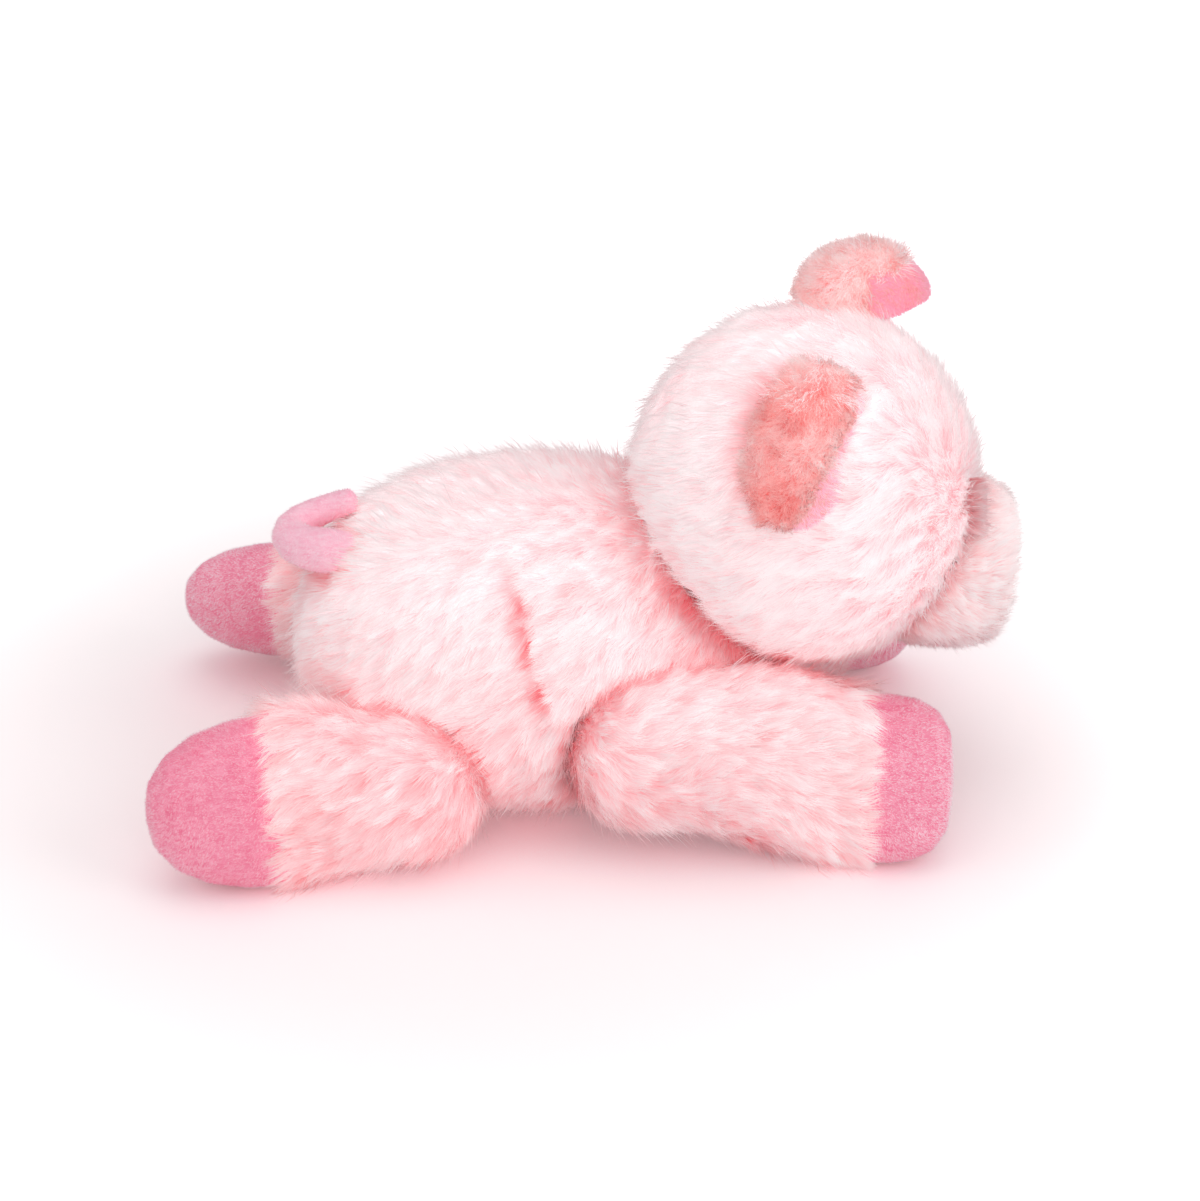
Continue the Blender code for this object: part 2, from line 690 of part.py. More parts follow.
def build():
    start_clean()
    fur = finish("pale_pink_fur", 0.93, 0.66, 0.69, 0.95)
    coral = finish("coral_fur", 0.90, 0.40, 0.38, 0.95)
    velvet = finish("pink_velvet", 0.86, 0.27, 0.40, 0.9)
    snout = finish("snout_velvet", 0.90, 0.62, 0.60, 0.9)
    stuffing = finish("white_stuffing", 0.9, 0.9, 0.88, 1.0)
    black = finish("black_plastic", 0.01, 0.01, 0.01, 0.15)
    white = finish("white_plastic", 0.8, 0.8, 0.8, 0.4)
    floor = slab_cutter("floor_plane", Vector(), -up)
    legs = [
        Leg("front_left", 1, True),
        Leg("front_right", -1, True),
        Leg("hind_left", 1, False, hind_left_lift),
        Leg("hind_right", -1, False),
    ]
    ears = [
        Ear("left_ear", 1, left_ear_chord_shares, left_ear_back_shares, left_ear_curl, left_ear_limits),
        Ear("right_ear", -1, right_ear_chord_shares, right_ear_back_shares, right_ear_curl, right_ear_limits),
    ]
    neck = add_joint("neck_joint", neck_point)
    build_torso(fur, stuffing, legs, floor)
    cover, filling = build_head(fur, stuffing, neck)
    room = form_cutter("head_room", head_shape(-seam_gap, body_around, body_stations))
    build_muzzle(fur, stuffing, snout, neck, room)
    for name, side in (("left_eye", 1), ("right_eye", -1)):
        build_eye(name, side, black, white, neck, cover, filling)
    for leg in legs:
        build_leg(leg, fur, velvet, stuffing, floor)
    for ear in ears:
        build_ear(ear, coral, velvet, neck, room)
    build_tail(velvet, stuffing)


build()
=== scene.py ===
import json
import math

import bmesh
import bpy
import numpy as np
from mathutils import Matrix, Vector
from mathutils.bvhtree import BVHTree
from mathutils.kdtree import KDTree


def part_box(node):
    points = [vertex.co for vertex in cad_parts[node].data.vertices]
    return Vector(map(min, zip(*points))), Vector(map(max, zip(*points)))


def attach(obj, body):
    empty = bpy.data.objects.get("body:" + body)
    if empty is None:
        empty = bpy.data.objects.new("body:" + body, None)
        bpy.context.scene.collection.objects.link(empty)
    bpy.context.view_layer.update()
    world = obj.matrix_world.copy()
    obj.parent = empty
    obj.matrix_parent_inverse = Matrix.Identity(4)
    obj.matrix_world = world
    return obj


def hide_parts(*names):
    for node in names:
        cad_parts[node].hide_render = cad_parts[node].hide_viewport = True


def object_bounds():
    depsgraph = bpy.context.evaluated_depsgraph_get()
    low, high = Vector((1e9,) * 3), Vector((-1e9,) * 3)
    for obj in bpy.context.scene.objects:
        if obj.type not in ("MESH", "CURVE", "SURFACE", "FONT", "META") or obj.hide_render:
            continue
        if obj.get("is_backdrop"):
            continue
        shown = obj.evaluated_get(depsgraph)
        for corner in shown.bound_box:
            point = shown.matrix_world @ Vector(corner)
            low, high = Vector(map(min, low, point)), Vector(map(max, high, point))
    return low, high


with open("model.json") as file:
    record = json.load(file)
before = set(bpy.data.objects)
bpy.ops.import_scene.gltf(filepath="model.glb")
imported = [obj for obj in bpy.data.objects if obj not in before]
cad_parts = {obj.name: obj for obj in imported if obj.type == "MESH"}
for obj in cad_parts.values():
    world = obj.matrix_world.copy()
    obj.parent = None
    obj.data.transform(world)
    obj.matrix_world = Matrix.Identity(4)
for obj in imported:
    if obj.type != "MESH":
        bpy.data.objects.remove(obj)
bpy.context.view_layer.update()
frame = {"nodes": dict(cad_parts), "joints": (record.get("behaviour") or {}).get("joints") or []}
scene = bpy.context.scene
mm = 0.001
print("frame loaded:", len(frame["nodes"]), "nodes")

# Camera, at the side of the pig and well above it
cameraSet = {"target": (0, -0.028, 0.0558), "azimuth": 268.5, "elevation": 29, "distance": 0.9, "lens": 90.4}


def placeCamera(c):
    a, e = math.radians(c["azimuth"]), math.radians(c["elevation"])
    back = Vector((math.sin(a) * math.cos(e), -math.cos(a) * math.cos(e), math.sin(e)))
    data = bpy.data.cameras.new("camera")
    data.lens = c["lens"]
    data.clip_start, data.clip_end = 0.01, 20
    camera = bpy.data.objects.new("camera", data)
    scene.collection.objects.link(camera)
    camera.location = Vector(c["target"]) + back * c["distance"]
    camera.rotation_euler = (-back).to_track_quat("-Z", "Y").to_euler()
    scene.camera = camera


placeCamera(cameraSet)


# Node helpers for the materials
def newMaterial(name):
    material = bpy.data.materials.new(name)
    material.use_nodes = True
    return material, material.node_tree, material.node_tree.nodes["Principled BSDF"]


def addNode(tree, kind, inputs=(), **values):
    node = tree.nodes.new(kind)
    for key, value in values.items():
        setattr(node, key, value)
    for key, value in dict(inputs).items():
        if isinstance(value, bpy.types.NodeSocket):
            tree.links.new(value, node.inputs[key])
        else:
            node.inputs[key].default_value = value
    return node


def addRamp(tree, factor, stops):
    ramp = addNode(tree, "ShaderNodeValToRGB", {"Fac": factor})
    steps = ramp.color_ramp.elements
    while len(steps) < len(stops):
        steps.new(0.5)
    for step, (place, color) in zip(steps, stops):
        step.position = place
        step.color = (*color, 1)
    return ramp.outputs["Color"]


def mixColor(tree, factor, first, second, blend="MIX"):
    mix = addNode(tree, "ShaderNodeMix", data_type="RGBA", blend_type=blend)
    for socket, value in ((mix.inputs[0], factor), (mix.inputs[6], first), (mix.inputs[7], second)):
        if isinstance(value, bpy.types.NodeSocket):
            tree.links.new(value, socket)
        else:
            socket.default_value = (*value, 1) if isinstance(value, tuple) else value
    return mix.outputs[2]


def setShader(tree, shader, values):
    for key, value in values.items():
        if isinstance(value, bpy.types.NodeSocket):
            tree.links.new(value, shader.inputs[key])
        else:
            shader.inputs[key].default_value = value


# A strand's colour runs from its root to its tip along v, and from pale to flushed along u, where u carries the
# pile's flush and painted shade, and the nap's tone and painted light
def furMaterial(name, pale, flushed, sheen):
    material, tree, shader = newMaterial(name)
    uv = addNode(tree, "ShaderNodeUVMap", uv_map="OFBake")
    split = addNode(tree, "ShaderNodeSeparateXYZ", {"Vector": uv.outputs["UV"]})
    paleRamp = addRamp(tree, split.outputs["Y"], pale)
    flushedRamp = addRamp(tree, split.outputs["Y"], flushed)
    color = mixColor(tree, split.outputs["X"], paleRamp, flushedRamp)
    setShader(tree, shader, {
        "Base Color": color, "Roughness": 0.85, "Specular IOR Level": 0.15,
        "Sheen Weight": sheen, "Sheen Roughness": 0.5, "Sheen Tint": (1, 0.93, 0.93, 1),
    })
    behind = addNode(tree, "ShaderNodeNewGeometry").outputs["Backfacing"]
    through = addNode(tree, "ShaderNodeBsdfTranslucent", {"Color": color})
    both = addNode(tree, "ShaderNodeMixShader", {0: behind, 1: shader.outputs[0], 2: through.outputs[0]})
    tree.links.new(both.outputs[0], tree.nodes["Material Output"].inputs["Surface"])
    return material


def skinMaterial(name, dark, light):
    material, tree, shader = newMaterial(name)
    place = addNode(tree, "ShaderNodeTexCoord").outputs["Object"]
    cloth = addNode(tree, "ShaderNodeTexNoise", {"Vector": place, "Scale": 900, "Detail": 3}).outputs["Fac"]
    color = addRamp(tree, cloth, [(0.3, dark), (0.7, light)])
    bump = addNode(tree, "ShaderNodeBump", {"Height": cloth, "Strength": 0.5, "Distance": 0.4 * mm})
    setShader(tree, shader, {"Base Color": color, "Normal": bump.outputs["Normal"], "Roughness": 0.95})
    return material


# Velvet: fine nap flecks, wider brushed patches, and a pale sheen at grazing angles
def velvetMaterial(name, dark, light, patch):
    material, tree, shader = newMaterial(name)
    place = addNode(tree, "ShaderNodeTexCoord").outputs["Object"]
    nap = addNode(tree, "ShaderNodeMapping", {"Vector": place, "Scale": (1, 0.45, 1.6)}).outputs["Vector"]
    flecks = addNode(tree, "ShaderNodeTexNoise", {
        "Vector": nap, "Scale": 620, "Detail": 4, "Roughness": 0.65, "Distortion": 0.6,
    }).outputs["Fac"]
    patches = addNode(tree, "ShaderNodeTexNoise", {"Vector": place, "Scale": 70, "Detail": 2}).outputs["Fac"]
    fleck = addRamp(tree, flecks, [(0.32, dark), (0.68, light)])
    color = mixColor(tree, addRamp(tree, patches, [(0.4, (0, 0, 0)), (0.75, (0.5, 0.5, 0.5))]), fleck, patch)
    bump = addNode(tree, "ShaderNodeBump", {"Height": flecks, "Strength": 0.6, "Distance": 0.35 * mm})
    setShader(tree, shader, {
        "Base Color": color, "Normal": bump.outputs["Normal"], "Roughness": 0.9, "Specular IOR Level": 0.2,
        "Sheen Weight": 0.35, "Sheen Roughness": 0.35, "Sheen Tint": (1, 0.75, 0.85, 1),
    })
    return material


bodyFur = furMaterial(
    "palePinkFur",
    [(0, (0.97, 0.62, 0.65)), (0.35, (0.99, 0.85, 0.87)), (0.7, (1.0, 0.955, 0.96)), (1, (1.0, 0.99, 0.99))],
    [(0, (0.88, 0.10, 0.12)), (0.4, (0.92, 0.17, 0.20)), (0.75, (0.94, 0.25, 0.28)), (1, (0.96, 0.36, 0.40))],
    0.25,
)
muzzleFur = furMaterial(
    "muzzleFur",
    [(0, (0.98, 0.66, 0.67)), (0.4, (1.0, 0.87, 0.88)), (0.75, (1.0, 0.96, 0.96)), (1, (1.0, 0.99, 0.985))],
    [(0, (0.88, 0.16, 0.17)), (0.4, (0.93, 0.32, 0.33)), (0.75, (0.97, 0.50, 0.50)), (1, (0.99, 0.66, 0.65))],
    0.25,
)
coralFur = furMaterial(
    "coralCurlyFur",
    [(0, (0.95, 0.40, 0.40)), (0.4, (0.99, 0.68, 0.68)), (0.75, (1.0, 0.84, 0.83)), (1, (1.0, 0.94, 0.93))],
    [(0, (0.82, 0.14, 0.13)), (0.4, (0.92, 0.27, 0.26)), (0.75, (0.97, 0.42, 0.40)), (1, (1.0, 0.62, 0.59))],
    0.2,
)
napFur = furMaterial(
    "velvetNap",
    [(0, (0.90, 0.18, 0.31)), (0.5, (0.98, 0.32, 0.46)), (1, (1.0, 0.52, 0.64))],
    [(0, (1.0, 0.52, 0.65)), (0.5, (1.0, 0.70, 0.79)), (1, (1.0, 0.88, 0.92))],
    0.2,
)
bodySkin = skinMaterial("furBacking", (0.95, 0.56, 0.59), (0.98, 0.72, 0.74))
coralSkin = skinMaterial("coralBacking", (0.86, 0.34, 0.33), (0.93, 0.50, 0.48))
hoofVelvet = velvetMaterial("hoofVelvet", (0.88, 0.18, 0.31), (0.97, 0.38, 0.52), (0.95, 0.32, 0.46))
tailVelvet = velvetMaterial("tailVelvet", (0.96, 0.46, 0.60), (1.0, 0.68, 0.78), (0.98, 0.60, 0.72))
snoutVelvet = velvetMaterial("snoutVelvet", (0.86, 0.45, 0.44), (0.95, 0.66, 0.64), (0.93, 0.60, 0.58))


def plasticMaterial(name, color, roughness, coat):
    material, tree, shader = newMaterial(name)
    place = addNode(tree, "ShaderNodeTexCoord").outputs["Object"]
    wear = addNode(tree, "ShaderNodeTexNoise", {"Vector": place, "Scale": 400, "Detail": 3}).outputs["Fac"]
    rough = addNode(tree, "ShaderNodeMapRange", {"Value": wear, "To Min": roughness, "To Max": roughness + 0.08})
    setShader(tree, shader, {
        "Base Color": (*color, 1), "Roughness": rough.outputs["Result"], "Coat Weight": coat, "Coat Roughness": 0.03,
    })
    return material


# Stitching thread, with the twist of its plies as fine bands
def threadMaterial(name, dark, light):
    material, tree, shader = newMaterial(name)
    place = addNode(tree, "ShaderNodeTexCoord").outputs["Object"]
    plies = addNode(tree, "ShaderNodeTexWave", {
        "Vector": place, "Scale": 900, "Distortion": 3, "Detail": 1,
    }).outputs["Fac"]
    color = addRamp(tree, plies, [(0.2, dark), (0.8, light)])
    setShader(tree, shader, {"Base Color": color, "Roughness": 0.5, "Specular IOR Level": 0.4, "Sheen Weight": 0.2})
    return material


eyePlastic = plasticMaterial("glossyBlackPlastic", (0.012, 0.01, 0.011), 0.08, 0.6)
washerPlastic = plasticMaterial("whiteWasherPlastic", (0.8, 0.8, 0.79), 0.4, 0)
nostrilThread = threadMaterial("rosePinkThread", (0.62, 0.12, 0.20), (0.85, 0.32, 0.42))
print("materials made")


# Soft forms: CAD solids closed over into one even, rounded mesh
def newObject(name, mesh):
    made = bpy.data.objects.new(name, mesh)
    scene.collection.objects.link(made)
    return made


def applied(source, name):
    bpy.context.view_layer.update()
    seen = source.evaluated_get(bpy.context.evaluated_depsgraph_get())
    mesh = bpy.data.meshes.new_from_object(seen)
    mesh.name = name
    bpy.data.objects.remove(source, do_unlink=True)
    return newObject(name, mesh)


def softForm(name, nodes, voxel, smoothing, cuts=()):
    shape = bmesh.new()
    for node in nodes:
        shape.from_mesh(frame["nodes"][node].data)
    bmesh.ops.remove_doubles(shape, verts=shape.verts, dist=0.001 * mm)
    mesh = bpy.data.meshes.new(name)
    shape.to_mesh(mesh)
    shape.free()
    rough = newObject(name + "Rough", mesh)
    even = rough.modifiers.new("even", "REMESH")
    even.mode, even.voxel_size = "VOXEL", voxel
    soft = rough.modifiers.new("soft", "SMOOTH")
    soft.factor, soft.iterations = 0.5, smoothing
    form = applied(rough, name)
    shape = bmesh.new()
    shape.from_mesh(form.data)
    for point, away in cuts:
        every = list(shape.verts) + list(shape.edges) + list(shape.faces)
        bmesh.ops.bisect_plane(shape, geom=every, plane_co=point, plane_no=away, clear_outer=True)
        bmesh.ops.holes_fill(shape, edges=shape.edges)
    bmesh.ops.triangulate(shape, faces=shape.faces)
    shape.to_mesh(form.data)
    shape.free()
    return form


def pointsOf(form):
    mesh = form.data
    co = np.empty(len(mesh.vertices) * 3)
    mesh.vertices.foreach_get("co", co)
    normals = np.empty(len(mesh.vertices) * 3)
    mesh.vertices.foreach_get("normal", normals)
    corners = np.empty(len(mesh.polygons) * 3, int)
    mesh.polygons.foreach_get("vertices", corners)
    return co.reshape(-1, 3), normals.reshape(-1, 3), corners.reshape(-1, 3)


def movePoints(form, points):
    points[:, 2] = np.maximum(points[:, 2], 0.15 * mm)
    form.data.vertices.foreach_set("co", points.ravel())
    form.data.update()


def unit(vectors):
    return vectors / np.maximum(np.linalg.norm(vectors, axis=1, keepdims=True), 1e-9)


# Each leg runs from its joint to the end of its hoof, and the cuff is where the sleeve meets the hoof
legSizes = {
    "front": {"splay": 6, "reach": 89 * mm, "hoof": 27 * mm, "forward": -1},
    "hind": {"splay": 13, "reach": 76 * mm, "hoof": 38 * mm, "forward": 1},
}
legs = {}
for leg in ("front_left", "front_right", "hind_left", "hind_right"):
    sizes = legSizes[leg.split("_")[0]]
    joint = next(j for j in frame["joints"] if j["child"] == leg + "_leg")
    side = 1 if leg.endswith("_left") else -1
    splay = math.radians(sizes["splay"])
    heading = Vector((side * math.sin(splay), sizes["forward"] * math.cos(splay), 0))
    cuff = Vector(joint["pos_m"]) + heading * (sizes["reach"] - sizes["hoof"])
    legs[leg] = {"heading": heading, "cuff": cuff, "body": leg + "_leg"}

forms = {}
bodyOfForm = {}


def addForm(name, body, nodes, voxel=1.6 * mm, smoothing=8, cuts=()):
    forms[name] = softForm(name, nodes, voxel, smoothing, cuts)
    bodyOfForm[name] = body


addForm("torso", "torso", ["torso_cover", "torso_filling"])
addForm("head", "head", ["head_cover", "head_filling"])
addForm("muzzle", "head", ["muzzle_cover", "muzzle_filling"], 1.2 * mm)
for leg, at in legs.items():
    whole = [leg + "_leg_sleeve", leg + "_hoof", leg + "_leg_filling"]
    addForm(leg + "_sleeve", at["body"], whole, cuts=[(at["cuff"], at["heading"])])
    addForm(leg + "_hoof_pad", at["body"], whole, 1.2 * mm, 6, [(at["cuff"], -at["heading"])])
for side in ("left", "right"):
    addForm(side + "_ear_fur", side + "_ear", [side + "_ear_back"], 0.7 * mm, 4)
    addForm(side + "_ear_velvet", side + "_ear", [side + "_ear_lining"], 0.6 * mm, 3)
addForm("tail_pad", "tail", ["tail_cover", "tail_filling"], 1.0 * mm, 4)
addForm("snout_velvet", "head", ["snout_pad"], 0.7 * mm, 4)
for side in ("left", "right"):
    addForm(side + "_eye_dome", "head", [side + "_eye"], 0.3 * mm, 3)
print("soft forms made:", len(forms))

trees = {}
for name, form in forms.items():
    if not name.endswith("_eye_dome"):
        co, normals, corners = pointsOf(form)
        trees[name] = BVHTree.FromPolygons(co.tolist(), corners.tolist())


# The cover of one form swells into the crease that it makes with its neighbours, so that the crease stays shallow
def swollen(name, others, reach, share):
    form = forms[name]
    co, normals, corners = pointsOf(form)
    lift = np.zeros(len(co))
    for i, (point, out) in enumerate(zip(co, normals)):
        start, out = Vector(point), Vector(out)
        for other in others:
            found = trees[other].find_nearest(start, reach)
            if found[0] is None or (start - found[0]).dot(found[1]) < 0:
                continue
            gap = trees[other].ray_cast(start + out * 0.2 * mm, out, reach)[3]
            if gap is not None:
                lift[i] = max(lift[i], share * gap * math.exp(-((gap / reach) ** 2) * 1.5))
    movePoints(form, co + normals * lift[:, None])
    shape = bmesh.new()
    shape.from_mesh(form.data)
    shape.verts.ensure_lookup_table()
    moved = {v for i in np.flatnonzero(lift) for e in shape.verts[int(i)].link_edges for v in e.verts}
    for _ in range(6):
        bmesh.ops.smooth_vert(shape, verts=list(moved), factor=0.5, use_axis_x=True, use_axis_y=True, use_axis_z=True)
    shape.to_mesh(form.data)
    shape.free()
    co, normals, corners = pointsOf(form)
    trees[name] = BVHTree.FromPolygons(co.tolist(), corners.tolist())


swollen("torso", ["front_left_sleeve", "front_right_sleeve"], reach=16 * mm, share=0.85)
swollen("torso", ["hind_left_sleeve", "hind_right_sleeve"], reach=9 * mm, share=0.6)
for leg in legs:
    swollen(leg + "_sleeve", ["torso"], reach=(13 if leg.startswith("front") else 10) * mm, share=0.8)
swollen("torso", ["head"], reach=13 * mm, share=0.7)
swollen("head", ["torso"], reach=7 * mm, share=0.5)
swollen("head", ["muzzle"], reach=8 * mm, share=0.6)
sleeves = [leg + "_sleeve" for leg in legs]
bigForms = ["torso", "head", "muzzle"] + sleeves
places, faces, thinned, surfaceNormals = [], [], [], []
for name, form in forms.items():
    if name in trees and not name.endswith("_velvet"):
        co, normals, corners = pointsOf(form)
        faces += (corners + len(places)).tolist()
        places += co.tolist()
        if name in bigForms:
            thinned += co[::6].tolist()
            surfaceNormals += normals[::6].tolist()
allForms = BVHTree.FromPolygons(places, faces)
surfaceNormals = np.array(surfaceNormals)
surface = KDTree(len(thinned))
for i, place in enumerate(thinned):
    surface.insert(place, i)
surface.balance()
print("creases filled")


def faceMiddles(name):
    co, normals, corners = pointsOf(forms[name])
    return co[corners].mean(axis=1)


def faceNormals(name):
    co, normals, corners = pointsOf(forms[name])
    a, b, c = (co[corners[:, i]] for i in range(3))
    return unit(np.cross(b - a, c - a))


# The faces of a form that carry fur: not those that another form covers, or that lie on the floor
def openFaces(name, reach):
    middles = faceMiddles(name)
    near = [tree for other, tree in trees.items() if other != name]
    isOpen = np.ones(len(middles), bool)
    for i, (middle, out) in enumerate(zip(middles, faceNormals(name))):
        start, out = Vector(middle), Vector(out)
        for tree in near:
            if tree.ray_cast(start - out * 0.3 * mm, out, reach)[0] is not None:
                isOpen[i] = False
                break
        if isOpen[i] and middle[2] < 1.2 * mm:
            isOpen[i] = False
    return isOpen


# How near each vertex of a form lies to the forms of other bodies, from 1 where they touch to 0 away from them
def nearness(name, width, others=None):
    co, normals, corners = pointsOf(forms[name])
    near = [trees[o] for o in others or trees if others or bodyOfForm[o] != bodyOfForm[name]]
    close = np.zeros(len(co))
    for i, point in enumerate(co):
        for tree in near:
            found = tree.find_nearest(Vector(point), width * 2.5)
            if found[0] is not None:
                close[i] = max(close[i], math.exp(-((found[3] / width) ** 2)))
    return close


# The way that the whole pig's surface faces around each vertex, so that the pile is lit evenly across a crease
def broadNormals(name, reach=13 * mm):
    co, normals, corners = pointsOf(forms[name])
    broad = normals.copy()
    for i in np.flatnonzero(nearness(name, 12 * mm, [o for o in bigForms if o != name]) > 0.02):
        around = [found[1] for found in surface.find_range(co[i], reach)]
        if around:
            broad[i] = surfaceNormals[around].mean(axis=0)
    return unit(broad)


# How much of the sky the other forms and the floor hide from each vertex: the pile is painted pinker where it is
# hidden, as painted shade
skySet = {"reach": 38 * mm, "rays": 18, "lift": 1.5 * mm, "spread": 1.05, "floorShare": 0.45}


def hiddenShare(name):
    co, normals, corners = pointsOf(forms[name])
    reach, rays = skySet["reach"], skySet["rays"]
    spread = unit(np.random.default_rng(5).normal(size=(rays, 3)))
    hidden = np.zeros(len(co))
    for i, (point, out) in enumerate(zip(co + normals * skySet["lift"], normals)):
        for direction in unit(spread + out * skySet["spread"]).tolist():
            gap = allForms.ray_cast(point, direction, reach)[3]
            if gap is not None:
                hidden[i] += 1 - 0.5 * gap / reach
            elif direction[2] < 0 and point[2] / -direction[2] < reach:
                hidden[i] += skySet["floorShare"] * (1 - point[2] / -direction[2] / reach)
    return hidden / rays


# Slow waves through space, that turn and thin the fur from place to place
def waves(points, scale, seed, count=6):
    rng = np.random.default_rng(seed)
    total = np.zeros(len(points))
    for _ in range(count):
        direction = rng.normal(size=3)
        direction /= np.linalg.norm(direction)
        pitch = 2 * math.pi / scale * rng.uniform(0.6, 1.6)
        total += np.sin(points @ direction * pitch + rng.uniform(0, 6.3))
    return total / math.sqrt(count)


def turnAbout(vectors, axes, angles):
    c, s = np.cos(angles)[:, None], np.sin(angles)[:, None]
    return vectors * c + np.cross(axes, vectors) * s + axes * (np.sum(axes * vectors, axis=1)[:, None] * (1 - c))


uvHalfWidth = 0.008


# Flat strands in one mesh, each a row of quads with a pointed end, split into triangles
def strandMesh(name, points, widths, sides, tints, shading):
    levels = len(points)
    count = len(points[0])
    perStrand = 2 * (levels - 1) + 1
    co = np.empty((count, perStrand, 3))
    uv = np.empty((count, perStrand, 2))
    for k in range(levels - 1):
        co[:, 2 * k] = points[k] - sides * widths[k][:, None]
        co[:, 2 * k + 1] = points[k] + sides * widths[k][:, None]
        uv[:, 2 * k] = np.stack([tints - uvHalfWidth, np.full(count, k / (levels - 1))], axis=1)
        uv[:, 2 * k + 1] = np.stack([tints + uvHalfWidth, np.full(count, k / (levels - 1))], axis=1)
    co[:, -1] = points[-1]
    uv[:, -1] = np.stack([tints, np.ones(count)], axis=1)
    co[..., 2] = np.maximum(co[..., 2], 0.1 * mm)
    faces = []
    for k in range(levels - 2):
        faces += [(2 * k, 2 * k + 1, 2 * k + 3), (2 * k, 2 * k + 3, 2 * k + 2)]
    faces.append((2 * levels - 4, 2 * levels - 3, 2 * levels - 2))
    corners = np.arange(count)[:, None, None] * perStrand + np.array(faces)
    mesh = bpy.data.meshes.new(name)
    mesh.vertices.add(count * perStrand)
    mesh.vertices.foreach_set("co", co.ravel())
    mesh.loops.add(corners.size)
    mesh.loops.foreach_set("vertex_index", corners.ravel())
    mesh.polygons.add(corners.size // 3)
    mesh.polygons.foreach_set("loop_start", np.arange(0, corners.size, 3))
    layer = mesh.uv_layers.new(name="OFBake")
    layer.uv.foreach_set("vector", uv.reshape(-1, 2)[corners.ravel()].ravel())
    mesh.update(calc_edges=True)
    mesh.shade_smooth()
    mesh.normals_split_custom_set_from_vertices(np.repeat(shading, perStrand, axis=0))
    return mesh


